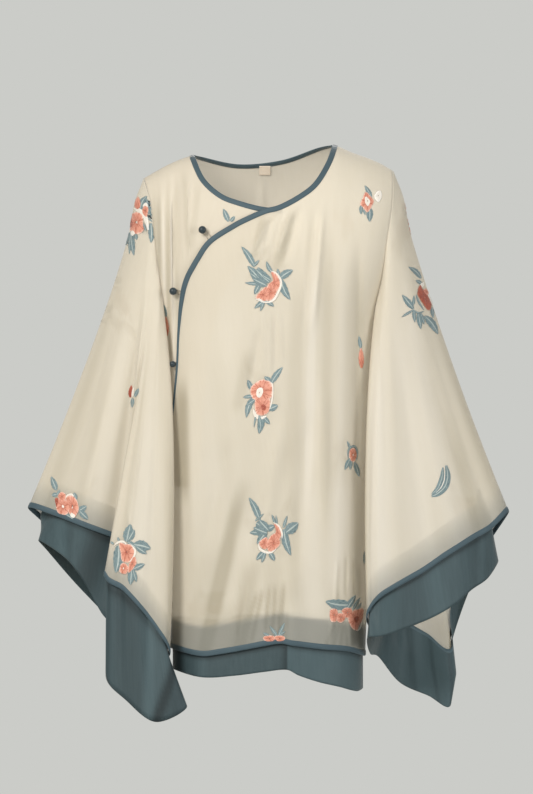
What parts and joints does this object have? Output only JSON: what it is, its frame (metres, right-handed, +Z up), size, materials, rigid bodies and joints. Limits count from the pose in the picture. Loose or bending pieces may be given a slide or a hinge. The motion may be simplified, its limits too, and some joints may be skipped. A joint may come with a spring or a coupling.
{
  "type": "short hanfu robe",
  "caption": "Short wide-sleeved robe with a round neck, slanted side opening with ball buttons, bound edges and a contrast border under each hem; hollow, in its worn form.",
  "frame": {"origin": "middle of the neck at the height of the wearer's shoulders, where the robe is held up", "axes": "+Z up along the robe's length, -Y out of the chest, +X towards the wearer's left"},
  "size_m": [0.7261, 0.2293, 0.8646],
  "materials": {
    "cream_silk": "sheer cream silk organza with a soft satin sheen",
    "teal_border": "slate-teal satin border",
    "teal_binding": "slate-teal bias binding",
    "dark_cord": "dark slate corded ball button and loop",
    "label": "blank woven label",
    "thread_coral": "coral embroidery thread",
    "thread_white": "white embroidery thread",
    "thread_leaf": "dusty-teal embroidery thread"
  },
  "bodies": {
    "root": {"front_panel": "cream_silk", "under_front": "cream_silk", "back_panel": "cream_silk", "sleeve_right": "cream_silk", "sleeve_left": "cream_silk", "border_front": "teal_border", "border_back": "teal_border", "border_sleeve_right": "teal_border", "border_sleeve_left": "teal_border", "binding_opening": "teal_binding", "binding_under_neck": "teal_binding", "binding_back_neck": "teal_binding", "binding_hem_front": "teal_binding", "binding_hem_back": "teal_binding", "binding_cuff_right": "teal_binding", "binding_cuff_left": "teal_binding", "button_1": "dark_cord", "button_2": "dark_cord", "button_3": "dark_cord", "loop_1": "dark_cord", "loop_2": "dark_cord", "loop_3": "dark_cord", "neck_label": "label"}
  },
  "joints": []
}
